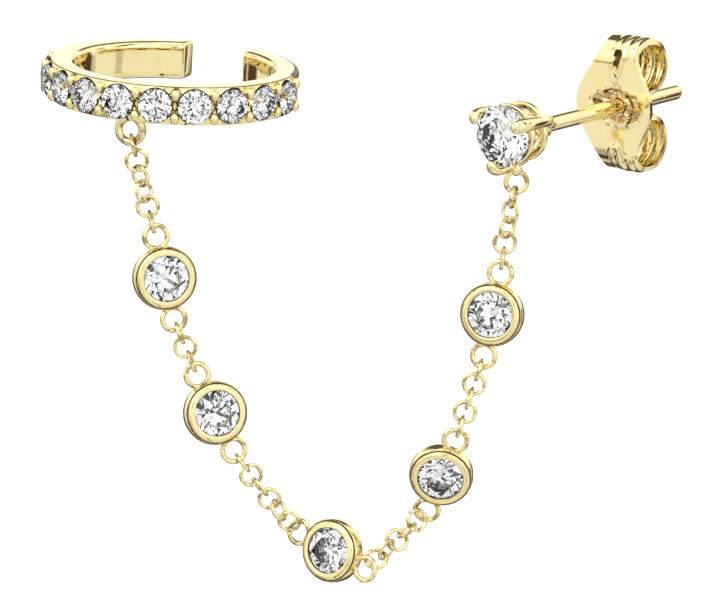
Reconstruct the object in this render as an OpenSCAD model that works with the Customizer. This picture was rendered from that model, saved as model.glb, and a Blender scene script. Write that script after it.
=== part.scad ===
// Ear chain earring. An open cuff with a row of round stones grips the rim of the ear,
// a fine cable chain with five bezel-set stones hangs from it, and the chain ends at a
// three-prong stud with a butterfly nut, which pierces the lobe.
// Millimetres, +Z up. The origin is on the post, where it sits in the lobe.

/* [Cuff] */
// Outer radius of the gold band
cuff_outer_r = 6.03; // [5.9:0.01:6.1]
// Thickness of the band's wall, from inside to outside
cuff_wall = 1.2; // [1.1:0.05:1.25]
// Height of the band
cuff_height = 1.84; // [1.8:0.01:1.95]
// Radius of the band's rounded edges
cuff_edge_r = 0.16; // [0.08:0.01:0.25]
// Direction of the middle of the gap, in degrees from the front through the right
cuff_gap_dir = 156; // [150:1:162]
// Angle that the gap takes out of the band
cuff_gap_angle = 35; // [30:1:36]
// Outer diameter of the wire loop that is soldered under the band
cuff_loop_d = 1.6; // [1.5:0.02:1.7]
// Thickness of that loop's wire
cuff_loop_wire = 0.4; // [0.3:0.02:0.42]

/* [Cuff stones] */
// Number of stones along the band
cuff_stone_count = 11; // [9:1:11]
// Diameter of each of these stones
cuff_stone_d = 1.64; // [1.5:0.02:1.68]
// Angle from one stone to the next
cuff_stone_pitch = 17.8; // [17.4:0.1:18]
// Direction of the middle stone, in degrees from the front through the right
cuff_stone_dir = -24.5; // [-26:0.5:-22]
// Distance from the band's axis to the stones' girdles
cuff_girdle_r = 6.1; // [6.05:0.01:6.15]
// Diameter of the beads that hold the stones, two between each pair
bead_d = 0.46; // [0.4:0.02:0.5]

/* [Bezels] */
// Outer diameter of a bezel
bezel_d = 3.1; // [3.05:0.01:3.2]
// Height of a bezel from front to back
bezel_h = 0.92; // [0.88:0.01:1.1]
// Diameter of a bezel's stone
bezel_stone_d = 2.42; // [2.36:0.01:2.44]
// Outer diameter of the wire rings at both ends of a bezel
ear_d = 1.36; // [1.34:0.01:1.37]
// Thickness of those rings' wire
ear_wire = 0.25; // [0.22:0.01:0.25]
// Distance from a bezel's centre to the centre of each of its rings
ear_reach = 2.03; // [2:0.01:2.04]

/* [Chain] */
// Outer diameter of a chain link
link_d = 1.18; // [1.17:0.01:1.19]
// Thickness of the links' wire
link_wire = 0.19; // [0.16:0.01:0.19]

/* [Stud] */
// Direction in which the post points, in degrees from straight back to the right
stud_turn = 38; // [34:1:42]
// Diameter of the stud's stone
stud_stone_d = 3; // [2.9:0.05:3.05]
// Distance from the stone's girdle to the middle of the lobe
girdle_to_lobe = 6.2; // [6.1:0.05:6.3]
// Diameter of the post
post_d = 0.78; // [0.7:0.01:0.8]
// Distance from the middle of the lobe to the tip of the post
post_reach = 8.1; // [7.8:0.1:8.4]
// Width of each prong
prong_w = 0.52; // [0.46:0.02:0.56]

/* [Nut] */
// Distance from the middle of the lobe to the front of the nut's plate
nut_front = 3.0; // [2.8:0.05:3.2]
// Thickness of the nut's sheet
nut_sheet = 0.3; // [0.25:0.01:0.32]
// Width of the nut's plate at its middle
nut_w = 4.4; // [4.2:0.1:4.6]
// Height over which the plate narrows to the width of the scrolls
nut_plate_h = 5.8; // [5.4:0.1:6]
// Width of the two scrolls
scroll_w = 2.1; // [1.9:0.1:2.3]
// Outer radius of each scroll
scroll_r = 1.43; // [1.38:0.01:1.46]
// Diameter of the hole for the post
nut_bore_d = 0.86; // [0.84:0.01:0.9]

/* [Hidden] */
$fn = 48;
// Running clearance between a stone and its seat
seat_gap = 0.03;

// Cut of a round brilliant, as shares of its diameter
TABLE_SHARE = 0.57;
CROWN_SHARE = 0.15;
GIRDLE_SHARE = 0.035;
PAVILION_SHARE = 0.42;

// Place of the cuff: the centre of its ring, and how it leans
CUFF_CENTRE = [-19.5, 1.15, 1.5];
CUFF_LEAN = [0.7, 3, 0];
// Radius of the hole that is drilled through the band behind each stone
SEAT_HOLE_R = 0.36;
// Distance from the band's axis to the beads' centres
BEAD_R = 6.14;
// Place of the loop under the cuff, from the ring's centre before it leans
CUFF_LOOP_R = 5.56;
CUFF_LOOP_DIR = -19.2;
CUFF_LOOP_Z = -1.38;

// Bezels from the cuff to the stud: centre, then how far the chain's line through the
// bezel leans to the right, how far its face tips down, and how far it turns right
BEZELS = [
    // x, y, z, lean, tip, turn
    [-19.82, -4.1, -7.03, -11, -5, 14],
    [-17.44, -4.1, -13.62, -24, -8, 15],
    [-11.87, -4.3, -20.35, -72, -10, -32],
    [-6.65, -3.55, -16.82, 21, 14, -6],
    [-4.25, -4.1, -8.81, 10, -6, -15],
];
POS_X = 0;
LEAN = 3;
TIP = 4;
TURN = 5;

// Stretches of chain, from the cuff's loop to the stud's: how far the middle of the
// stretch bows to the left, how much longer its two end steps are than the steps
// between its links, and each link's roll from facing the front
STRETCHES = [
    // bow, end step, rolls
    [0.06, 1.00, [90, 0, 48, 130, 180, 90]],
    [0.00, 1.00, [90, 4, 90]],
    [0.12, 1.00, [82, -8, 74, 8, 116, 18]],
    [0.06, 1.03, [146, 48, 164, 96, 10]],
    [0.00, 1.00, [90, 0, 90, 0, 90]],
    [-0.05, 1.00, [90, 0, 50, 130, 74]],
];
BOW = 0;
END_STEP = 1;
ROLLS = 2;

// Height of a bezel stone's girdle above the bezel's middle
BEZEL_GIRDLE_Z = bezel_h / 2 - 0.3;
// A bezel's rim: its width, the radius of its lip over the stone, of its round front and
// of its back edge, how far it tapers in to the front and from which height above the
// bezel's middle, and the radius of the hole behind
RIM_WALL = 0.47;
LIP_R = 0.06;
FRONT_EDGE_R = 0.27;
BACK_EDGE_R = 0.28;
TAPER = 0.06;
TAPER_Z = -0.08;
BACK_HOLE_R = 0.9;

// Centre of the loop under the stud's head, beside the post, along it and up
STUD_LOOP = [0.1, 1.0 - girdle_to_lobe, -2.36];
STUD_LOOP_D = 1.25;
STUD_LOOP_WIRE = 0.24;

// Turn of the stud's stone in its setting
STUD_STONE_SPIN = 11;
// Prongs of the stud, in degrees round its stone from the right through the top
PRONGS = [26, 146, 264];
// Side of a prong: its distance from the stone's axis, and behind the girdle, from the
// claw's tip down the outside and back up the inside
PRONG_SIDE = [
    // radius, behind
    [1.12, -0.66],
    [1.42, -0.8],
    [1.78, -0.55],
    [1.92, -0.1],
    [1.72, 1.7],
    [1.3, 2.5],
    [0.72, 3.3],
    [0.2, 3.3],
    [0.3, 2.8],
    [1.22, 1.5],
    [1.3, -0.2],
];
// Two rings that tie the prongs: outer radius, wall, behind the girdle, height
HEAD_RINGS = [
    // radius, wall, behind, height
    [1.5, 0.34, 0.36, 0.36],
    [1.44, 0.34, 1.45, 0.34],
];
HEAD_DEPTH = 3.4;
HUB_D = 1.0;
HUB_H = 0.7;

// Collar of raised metal round the nut's hole
COLLAR_D = 2.1;
COLLAR_MOUTH_D = 1.3;
COLLAR_H = 0.3;
// How far the plate's middle lies left of its hole, and the height at which that fades
PLATE_SHIFT = 0.26;
PLATE_SHIFT_Z = 2.4;
// Step in height between the points of the plate's outline
PLATE_STEP = 0.2;
// Groove that is pressed along the scrolls
GROOVE_R = 0.24;
GROOVE_DEPTH = 0.12;
// How far a scroll's sheet goes round, from the plate over the outside to its end
SCROLL_SWEEP = 305;

GOLD = [0.93, 0.80, 0.47];
DIAMOND = [0.93, 0.95, 0.98, 0.6];
EPS = 0.01;

BEZEL_COUNT = len(BEZELS);
STRETCH_COUNT = len(STRETCHES);
function links_before(k) = k == 0 ? 0 : links_before(k - 1) + len(STRETCHES[k - 1][ROLLS]);
LINK_COUNT = links_before(STRETCH_COUNT);

function two_digits(n) = str(n < 10 ? "0" : "", n);
function link_name(k, i) = str("link_", two_digits(links_before(k) + i + 1));
function bezel_name(i) = str("bezel_", i + 1);
function bezel_stone_name(i) = str("bezel_stone_", i + 1);

// A vector turned as rotate([ax, ay, az]) turns a shape
function turn_x(v, a) = [v.x, v.y * cos(a) - v.z * sin(a), v.y * sin(a) + v.z * cos(a)];
function turn_y(v, a) = [v.x * cos(a) + v.z * sin(a), v.y, -v.x * sin(a) + v.z * cos(a)];
function turn_z(v, a) = [v.x * cos(a) - v.y * sin(a), v.x * sin(a) + v.y * cos(a), v.z];
function turned(v, a) = turn_z(turn_y(turn_x(v, a.x), a.y), a.z);
function unit(v) = v / norm(v);

// Direction in the cuff's plane, in degrees from the front through the right
function cuff_dir(a) = [sin(a), -cos(a), 0];

// Centres of the rings that the chain hangs between
function bezel_pos(i) = [BEZELS[i][0], BEZELS[i][1], BEZELS[i][2]];
function bezel_up(i) = turned(turn_y([0, 0, 1], BEZELS[i][LEAN]), [BEZELS[i][TIP], 0, BEZELS[i][TURN]]);
function bezel_ear(i, side) = bezel_pos(i) + side * ear_reach * bezel_up(i);
function cuff_loop_pos() = CUFF_CENTRE
    + turned(CUFF_LOOP_R * cuff_dir(CUFF_LOOP_DIR) + [0, 0, CUFF_LOOP_Z], CUFF_LEAN);
function stud_loop_pos() = turn_z(STUD_LOOP, -stud_turn);
// The last two bezels are passed from below upwards, the others downwards
function leave_side(i) = i < 3 ? -1 : 1;
function stretch_start(k) = k == 0 ? cuff_loop_pos() : bezel_ear(k - 1, leave_side(k - 1));
function stretch_end(k) = k == STRETCH_COUNT - 1 ? stud_loop_pos() : bezel_ear(k, -leave_side(k));

module torus(outer_d, wire) {
    rotate_extrude() translate([(outer_d - wire) / 2, 0]) circle(d = wire, $fn = 24);
}

// A round bar with flat ends between two points
module bar(from, to, r1, r2) {
    way = to - from;
    translate(from) rotate([0, acos(way.z / norm(way)), atan2(way.y, way.x)])
        cylinder(h = norm(way), r1 = r1, r2 = r2, $fn = 32);
}

// A rectangle with its four corners rounded
module rounded_rect(size, r) {
    square([size.x - 2 * r, size.y], center = true);
    square([size.x, size.y - 2 * r], center = true);
    for (sx = [-1, 1], sy = [-1, 1])
        translate([sx * (size.x / 2 - r), sy * (size.y / 2 - r)]) circle(r = r, $fn = 24);
}

// Round brilliant of diameter d: table towards +Z, girdle at z = 0. Eight kites and
// eight stars surround the table, with sixteen half facets on each side of the girdle.
module brilliant(d) {
    r = d / 2;
    table_r = r * TABLE_SHARE;
    crown_h = d * CROWN_SHARE;
    girdle_h = d * GIRDLE_SHARE;
    pavilion_h = d * PAVILION_SHARE;
    star_r = (table_r * cos(22.5) + r) / 2;
    star_h = crown_h * (r - star_r * cos(22.5)) / (r - table_r);
    half_r = 0.25 * r;
    half_h = pavilion_h * (1 - half_r * cos(22.5) / r);
    top = girdle_h / 2;
    ring = function(n, radius, z, from) [for (i = [0 : n - 1])
        [radius * cos(from + i * 360 / n), radius * sin(from + i * 360 / n), z]];
    points = concat(
        ring(8, table_r, top + crown_h, 0),
        ring(8, star_r, top + star_h, 22.5),
        ring(16, r, top, 0),
        ring(16, r, -top, 0),
        ring(8, half_r, -top - half_h, 22.5),
        [[0, 0, -top - pavilion_h]]
    );
    table = 0;
    star = 8;
    upper = 16;
    lower = 32;
    half = 48;
    culet = 56;
    faces = concat(
        [[for (i = [7 : -1 : 0]) table + i]],
        [for (i = [0 : 7]) [table + i, table + (i + 1) % 8, star + i]],
        [for (i = [0 : 7]) [table + i, star + i, upper + 2 * i]],
        [for (i = [0 : 7]) [table + (i + 1) % 8, upper + (2 * i + 2) % 16, star + i]],
        [for (i = [0 : 7]) [star + i, upper + 2 * i + 1, upper + 2 * i]],
        [for (i = [0 : 7]) [star + i, upper + (2 * i + 2) % 16, upper + 2 * i + 1]],
        [for (i = [0 : 15]) [upper + i, upper + (i + 1) % 16, lower + (i + 1) % 16, lower + i]],
        [for (i = [0 : 7]) [lower + 2 * i, lower + 2 * i + 1, half + i]],
        [for (i = [0 : 7]) [lower + 2 * i + 1, lower + (2 * i + 2) % 16, half + i]],
        [for (i = [0 : 7]) [culet, lower + (2 * i + 2) % 16, half + (i + 1) % 8]],
        [for (i = [0 : 7]) [culet, half + i, lower + (2 * i + 2) % 16]]
    );
    polyhedron(points, faces);
}

// Space that a stone of diameter d takes in the metal round it, with its seat's gap
module stone_seat(d) {
    r = d / 2 + seat_gap;
    girdle_h = d * GIRDLE_SHARE + 2 * seat_gap;
    pavilion_h = r * PAVILION_SHARE * 2;
    translate([0, 0, -girdle_h / 2]) cylinder(h = girdle_h, r = r);
    translate([0, 0, -girdle_h / 2 - pavilion_h * 0.9])
        cylinder(h = pavilion_h * 0.9 + EPS, r1 = r * 0.1, r2 = r);
}

// The same above the girdle: the cone of the crown
module crown_seat(d) {
    r = d / 2 + seat_gap;
    crown_h = d * CROWN_SHARE / (1 - TABLE_SHARE);
    translate([0, 0, d * GIRDLE_SHARE / 2]) cylinder(h = crown_h * 0.8, r1 = r, r2 = r * 0.2);
}

// Puts a shape that stands on the band's axis, facing +Z, on the band's outside
module on_band(a, radius) {
    translate(radius * cuff_dir(a)) rotate([90, 0, a]) children();
}

function cuff_stone_angle(i) = cuff_stone_dir + (i - (cuff_stone_count - 1) / 2) * cuff_stone_pitch;

module ear_cuff() {
    band_start = cuff_gap_dir + cuff_gap_angle / 2 - 360 - 90;
    bead_z = cuff_height / 2 - 0.72 * bead_d;
    color(GOLD) translate(CUFF_CENTRE) rotate(CUFF_LEAN) {
        difference() {
            rotate([0, 0, band_start]) rotate_extrude(angle = 360 - cuff_gap_angle, $fn = 96)
                translate([cuff_outer_r - cuff_wall / 2, 0])
                    rounded_rect([cuff_wall, cuff_height], cuff_edge_r);
            for (i = [0 : cuff_stone_count - 1]) on_band(cuff_stone_angle(i), cuff_girdle_r) {
                stone_seat(cuff_stone_d);
                cylinder(h = 1, r = cuff_stone_d / 2 + seat_gap);
                translate([0, 0, -cuff_wall - 0.5]) cylinder(h = cuff_wall, r = SEAT_HOLE_R);
            }
        }
        for (i = [0 : cuff_stone_count], side = [-1, 1])
            rotate([0, 0, cuff_stone_angle(i - 0.5)]) translate([0, -BEAD_R, side * bead_z])
                sphere(d = bead_d, $fn = 24);
        translate(CUFF_LOOP_R * cuff_dir(CUFF_LOOP_DIR) + [0, 0, CUFF_LOOP_Z])
            rotate([90, 0, CUFF_LOOP_DIR]) torus(cuff_loop_d, cuff_loop_wire);
    }
}

module cuff_stones() {
    color(DIAMOND) translate(CUFF_CENTRE) rotate(CUFF_LEAN)
        for (i = [0 : cuff_stone_count - 1])
            on_band(cuff_stone_angle(i), cuff_girdle_r) brilliant(cuff_stone_d);
}

// Puts a shape that faces +Z, with its rings along Y, where a bezel is
module at_bezel(i) {
    translate(bezel_pos(i)) rotate([BEZELS[i][TIP], 0, BEZELS[i][TURN]])
        rotate([0, BEZELS[i][LEAN], 0]) rotate([90, 0, 0]) children();
}

module bezel(i) {
    outer_r = bezel_d / 2;
    opening_r = outer_r - RIM_WALL;
    half_h = bezel_h / 2;
    back_w = outer_r - BACK_EDGE_R - BACK_HOLE_R;
    color(GOLD) at_bezel(i) {
        difference() {
            rotate_extrude() {
                intersection() {
                    hull() {
                        translate([opening_r + LIP_R, half_h - LIP_R]) circle(r = LIP_R, $fn = 24);
                        translate([outer_r - TAPER - FRONT_EDGE_R, half_h - FRONT_EDGE_R])
                            circle(r = FRONT_EDGE_R, $fn = 32);
                        translate([outer_r - BACK_EDGE_R, TAPER_Z]) circle(r = BACK_EDGE_R, $fn = 32);
                    }
                    translate([opening_r, -half_h]) square([RIM_WALL, bezel_h]);
                }
                translate([opening_r, BACK_EDGE_R - half_h])
                    square([RIM_WALL, TAPER_Z - BACK_EDGE_R + half_h]);
                translate([outer_r - BACK_EDGE_R, BACK_EDGE_R - half_h]) circle(r = BACK_EDGE_R, $fn = 32);
                translate([BACK_HOLE_R, -half_h]) square([back_w, half_h]);
            }
            translate([0, 0, BEZEL_GIRDLE_Z]) {
                stone_seat(bezel_stone_d);
                crown_seat(bezel_stone_d);
            }
        }
        for (side = [-1, 1]) translate([0, side * ear_reach, 0]) torus(ear_d, ear_wire);
    }
}

module bezel_stone(i) {
    color(DIAMOND) at_bezel(i) translate([0, 0, BEZEL_GIRDLE_Z]) brilliant(bezel_stone_d);
}

// Link i of stretch k. Its plane holds the stretch's line, and its roll turns it about
// that line from facing the front.
module link(k, i) {
    rolls = STRETCHES[k][ROLLS];
    from = stretch_start(k);
    to = stretch_end(k);
    along = unit(to - from);
    end_step = STRETCHES[k][END_STEP];
    share = (i + end_step) / (len(rolls) - 1 + 2 * end_step);
    front = unit([0, -1, 0] + along.y * along);
    side = cross(along, front);
    face = cos(rolls[i]) * front + sin(rolls[i]) * side;
    centre = from + share * (to - from) + STRETCHES[k][BOW] * sin(180 * share) * side;
    color(GOLD) translate(centre) rotate([0, acos(face.z), atan2(face.y, face.x)]) torus(link_d, link_wire);
}

// The stud is drawn with its post along +Y and its stone facing -Y, then turned
module on_stud() {
    rotate([0, 0, -stud_turn]) children();
}

module prong(a) {
    rotate([0, -a, 0]) translate([0, -girdle_to_lobe, 0])
        linear_extrude(height = prong_w, center = true) polygon(PRONG_SIDE);
}

// A plain ring round the stone's axis
module head_ring(outer_r, wall, behind, height) {
    translate([0, behind + height - girdle_to_lobe, 0]) rotate([90, 0, 0]) difference() {
        cylinder(h = height, r = outer_r);
        translate([0, 0, -1]) cylinder(h = height + 2, r = outer_r - wall);
    }
}

module post() {
    base_y = HEAD_DEPTH - girdle_to_lobe - EPS;
    tip_y = post_reach - post_d / 2;
    rotate([-90, 0, 0]) rotate_extrude() {
        translate([0, base_y]) square([post_d / 2, tip_y - base_y]);
        intersection() {
            translate([0, tip_y]) circle(d = post_d);
            translate([0, tip_y]) square(post_d);
        }
    }
}

module stud_setting() {
    solder_d = 0.5;
    color(GOLD) on_stud() {
        difference() {
            union() {
                for (a = PRONGS) prong(a);
                for (row = HEAD_RINGS) head_ring(row[0], row[1], row[2], row[3]);
            }
            translate([0, -girdle_to_lobe, 0]) rotate([90, 0, 0]) {
                stone_seat(stud_stone_d);
                crown_seat(stud_stone_d);
            }
        }
        translate([0, HEAD_DEPTH - girdle_to_lobe, 0]) rotate([90, 0, 0]) cylinder(h = HUB_H, d = HUB_D);
        post();
        translate(STUD_LOOP) rotate([90, 0, stud_turn]) torus(STUD_LOOP_D, STUD_LOOP_WIRE);
        translate([STUD_LOOP.x, STUD_LOOP.y, STUD_LOOP.z + STUD_LOOP_D / 2 - STUD_LOOP_WIRE])
            cylinder(h = 0.5, d = solder_d);
    }
}

module stud_stone() {
    color(DIAMOND) on_stud() translate([0, -girdle_to_lobe, 0]) rotate([90, 0, 0])
        rotate([0, 0, STUD_STONE_SPIN]) brilliant(stud_stone_d);
}

// Side view of the nut's sheet: the plate, and a scroll at each end that curls over the
// outside and comes down beside the post. X is along the post, Y up.
module nut_side(scroll_z) {
    translate([0, -scroll_z]) square([nut_sheet, 2 * scroll_z]);
    for (side = [-1, 1]) scale([1, side]) translate([scroll_r, scroll_z]) difference() {
        circle(r = scroll_r, $fn = 96);
        circle(r = scroll_r - nut_sheet, $fn = 96);
        rotate(180) polygon([[0, 0], [2, 0], [2, 2 * tan(360 - SCROLL_SWEEP)]]);
    }
}

// Half the width of the plate at a height, and how far its middle lies to the right there
function plate_half(z) = abs(z) > nut_plate_h / 2 ? scroll_w / 2
    : scroll_w / 2 + (nut_w - scroll_w) / 2 * pow(cos(180 * z / nut_plate_h), 2);
function plate_middle(z) = -PLATE_SHIFT * exp(-pow(z / PLATE_SHIFT_Z, 4));

// Outline of the plate seen along the post, through all depths
module plate_outline() {
    top = 17 * PLATE_STEP;
    rotate([90, 0, 0]) linear_extrude(height = 20, center = true) polygon(concat(
        [for (z = [-top : PLATE_STEP : top + EPS]) [plate_middle(z) + plate_half(z), z]],
        [for (z = [-top : PLATE_STEP : top + EPS]) [plate_middle(z) - plate_half(-z), -z]]
    ));
}

// The depths and heights in which the sheet is still as wide as the plate: the plate
// itself, and each scroll's first quarter turn
module plate_zone(scroll_z) {
    wide = nut_w + 1;
    translate([-wide / 2, -EPS, -scroll_z - EPS]) cube([wide, nut_sheet + 2 * EPS, 2 * scroll_z + 2 * EPS]);
    for (side = [-1, 1]) scale([1, 1, side])
        translate([-wide / 2, -EPS, scroll_z]) cube([wide, scroll_r + EPS, scroll_r + EPS]);
}

module ear_nut() {
    scroll_z = post_d / 2 + seat_gap + scroll_r;
    top_z = scroll_z + scroll_r;
    strip_from = 0.2;
    color(GOLD) on_stud() translate([0, nut_front, 0]) difference() {
        union() {
            intersection() {
                rotate([90, 0, 90]) linear_extrude(height = nut_w + 1, center = true) nut_side(scroll_z);
                union() {
                    intersection() {
                        plate_outline();
                        plate_zone(scroll_z);
                    }
                    for (side = [-1, 1]) scale([1, 1, side]) translate([-scroll_w / 2, -EPS, strip_from])
                        cube([scroll_w, 3 * scroll_r, top_z]);
                }
            }
            rotate([90, 0, 0]) cylinder(h = COLLAR_H, d1 = COLLAR_D, d2 = COLLAR_MOUTH_D);
        }
        translate([0, 2 * nut_sheet, 0]) rotate([90, 0, 0]) cylinder(h = 4 * nut_sheet, d = nut_bore_d);
        for (side = [-1, 1]) translate([0, scroll_r, side * scroll_z]) rotate([0, 90, 0])
            torus(2 * (scroll_r + 2 * GROOVE_R - GROOVE_DEPTH), 2 * GROOVE_R);
    }
}

ear_cuff();
cuff_stones();
stud_setting();
stud_stone();
ear_nut();
for (i = [0 : BEZEL_COUNT - 1]) {
    bezel(i);
    bezel_stone(i);
}
for (k = [0 : STRETCH_COUNT - 1]) for (i = [0 : len(STRETCHES[k][ROLLS]) - 1])
    link(k, i);
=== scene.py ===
# %% [markdown]
# # An ear chain earring in polished gold
# An open cuff with a row of stones, a fine chain with five bezels, and a stud with its
# butterfly nut. The solids come from CAD and stay as they are. This lesson rebuilds the
# gold round them with smooth, rounded surfaces, gives metal and stone their finish, and
# sets up the light. Everything is in metres, with +Z up, in the frame of the solids.

# %% Load the solids
import math

import bmesh
import bpy
import numpy as np
from mathutils import Matrix, Vector, noise


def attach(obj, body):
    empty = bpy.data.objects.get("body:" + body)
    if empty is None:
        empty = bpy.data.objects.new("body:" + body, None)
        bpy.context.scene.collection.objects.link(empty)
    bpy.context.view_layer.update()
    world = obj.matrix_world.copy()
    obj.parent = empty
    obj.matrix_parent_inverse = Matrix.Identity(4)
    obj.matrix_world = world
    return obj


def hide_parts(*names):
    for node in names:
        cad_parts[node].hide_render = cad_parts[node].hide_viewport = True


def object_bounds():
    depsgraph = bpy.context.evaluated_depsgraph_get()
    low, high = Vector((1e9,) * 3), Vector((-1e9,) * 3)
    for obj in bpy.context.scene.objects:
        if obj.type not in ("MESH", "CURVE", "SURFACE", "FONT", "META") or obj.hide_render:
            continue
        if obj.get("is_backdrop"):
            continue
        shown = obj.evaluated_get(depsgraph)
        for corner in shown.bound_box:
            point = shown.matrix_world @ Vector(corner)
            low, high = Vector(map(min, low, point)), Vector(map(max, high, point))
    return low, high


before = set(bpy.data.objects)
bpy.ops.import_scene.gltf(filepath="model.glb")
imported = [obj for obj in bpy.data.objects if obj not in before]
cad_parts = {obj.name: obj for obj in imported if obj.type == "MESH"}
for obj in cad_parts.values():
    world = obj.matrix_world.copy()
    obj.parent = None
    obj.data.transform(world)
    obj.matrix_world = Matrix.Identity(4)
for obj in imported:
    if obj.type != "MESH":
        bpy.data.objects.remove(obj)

solids_low, solids_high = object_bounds()
print("solids, mm:", [round(1000 * side, 2) for side in solids_high - solids_low])

# %% [markdown]
# ## Camera
# The picture is taken from a little above, through a long lens, so that the jewel is
# hardly distorted. The camera stands 35 cm away and looks 12.5 degrees down.

# %% Place the camera
MM = 0.001
LOOK_DOWN = 12.5
AIM = Vector((-10.465, -4.1, -8.474)) * MM
DISTANCE = 0.35
SENSOR, LENS = 36, 366.1

camera = bpy.data.objects.new("camera", bpy.data.cameras.new("camera"))
bpy.context.scene.collection.objects.link(camera)
down = math.radians(LOOK_DOWN)
camera.location = AIM + DISTANCE * Vector((0, -math.cos(down), math.sin(down)))
camera.rotation_euler = (math.radians(90) - down, 0, 0)
camera.data.sensor_width = SENSOR
camera.data.lens = LENS
camera.data.clip_start, camera.data.clip_end = 0.02, 20
bpy.context.scene.camera = camera
print("camera at, mm:", [round(1000 * x, 1) for x in camera.location])

# %% [markdown]
# ## Shader sums
# Materials and light are node trees. Two small classes keep them readable. The first
# wraps a node's output, so that a sum such as 1 - mask * 0.5 adds the Math nodes that it
# needs.

# %% Let outputs take part in sums
class Output:
    """A node's output that takes part in sums."""

    def __init__(self, tree, socket):
        self.tree, self.socket = tree, socket

    def other(self, name):
        """Another output of the same node."""
        return Output(self.tree, self.socket.node.outputs[name])

    def __add__(self, value):
        return self.tree.math("ADD", self, value)

    def __sub__(self, value):
        return self.tree.math("SUBTRACT", self, value)

    def __rsub__(self, value):
        return self.tree.math("SUBTRACT", value, self)

    def __mul__(self, value):
        return self.tree.math("MULTIPLY", self, value)

    __radd__, __rmul__ = __add__, __mul__


# %% [markdown]
# The second makes any node in one line, from its type, its settings and what goes into
# its sockets: a value is written into a socket, and an output is linked to it.

# %% Make nodes by their type
class Tree:
    """The node tree of a material or of the world."""

    def __init__(self, owner):
        owner.use_nodes = True
        self.nodes, self.links = owner.node_tree.nodes, owner.node_tree.links
        self.nodes.clear()

    def node(self, kind, settings={}, sockets={}, output=0):
        made = self.nodes.new("ShaderNode" + kind)
        for name, value in settings.items():
            setattr(made, name, value)
        for name, value in sockets.items():
            if isinstance(value, Output):
                self.links.new(value.socket, made.inputs[name])
            else:
                made.inputs[name].default_value = value
        return Output(self, made.outputs[output]) if made.outputs else made

    def math(self, operation, a, b=0.0):
        return self.node("Math", {"operation": operation}, {0: a, 1: b})

    def fade(self, value, low, high):
        """0 where value is under low, 1 over high, and smooth between them."""
        return self.node("MapRange", {"interpolation_type": "SMOOTHSTEP"},
                         {0: value, 1: low, 2: high})

    def speckle(self, place, scale, detail):
        """Noise from 0 to 1, with about that many specks to a unit of length."""
        return self.node("TexNoise", {}, {"Vector": place, "Scale": scale, "Detail": detail},
                         output="Fac")

    def mix(self, factor, a, b):
        """Colour a where the factor is 0, and colour b where it is 1."""
        return self.node("Mix", {"data_type": "RGBA"}, {0: factor, 6: a, 7: b}, output=2)


# %% [markdown]
# ## Light tent
# Polished gold shows nothing but its surroundings. A jeweller's light tent is white all
# round, with brighter soft boxes above and a few black cards, which draw the thin dark
# lines that make metal look polished and stones sparkle. Here the tent is the world's
# light, worked out from the direction alone. Rays that have been bent by a stone meet
# narrower cards than rays from metal do. The camera itself sees plain white.

# %% Find places in the tent
def aim(across, up):
    """Unit vector to a place in the tent: degrees to the right of the front, and up."""
    a, e = math.radians(across), math.radians(up)
    return Vector((math.sin(a) * math.cos(e), -math.cos(a) * math.cos(e), math.sin(e)))


world = bpy.data.worlds.new("light_tent")
bpy.context.scene.world = world
tent = Tree(world)
direction = tent.node("TexCoord", output="Generated")


def patch(towards, inner, outer):
    """1 within inner degrees of a direction, 0 past outer degrees from it."""
    along = tent.node("VectorMath", {"operation": "DOT_PRODUCT"}, {0: direction, 1: towards},
                      output="Value")
    return tent.fade(along, math.cos(math.radians(outer)), math.cos(math.radians(inner)))


SOFT_SIDE = 0.3  # a card's sides fade over this share of its half width, in and out
SOFT_END = 4  # its ends fade over so many degrees, up and down


def card(across, half_width, low, high):
    """1 on an upright card: its middle, half its width, its lower and its upper end, in degrees."""
    split = tent.node("SeparateXYZ", {}, {0: direction})
    up = tent.math("ARCSINE", split.other("Z")) * (180 / math.pi)
    turned = tent.math("ARCTAN2", split, 0 - split.other("Y")) * (180 / math.pi)
    off = 180 - tent.math("ABSOLUTE", 180 - tent.math("ABSOLUTE", turned - across))
    inside = 1 - tent.fade(off, half_width * (1 - SOFT_SIDE), half_width * (1 + SOFT_SIDE))
    above, below = (tent.fade(up, end - SOFT_END, end + SOFT_END) for end in (low, high))
    return inside * above * (1 - below)


def cards_of(table):
    """The cards of a table of (strength, across, half width, lower end, upper end)."""
    return [strength * card(*place) for strength, *place in table]


def any_of(*masks):
    found = masks[0]
    for mask in masks[1:]:
        found = tent.math("MAXIMUM", found, mask)
    return found


print("front of the tent:", [round(x, 2) for x in aim(0, 0)])

# %% [markdown]
# The cloth is brighter above than below and hangs in soft folds, except where the nut's
# plate and the cuff's back mirror it. Each card is there for a line that the metal needs:
# the camera's own dark lens in front, narrow cards for claws and rims, and a wide dark
# place low behind the jewel, which draws the outlines of everything that is round. Its
# middle is left light, so that flat backs don't turn brown.

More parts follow.
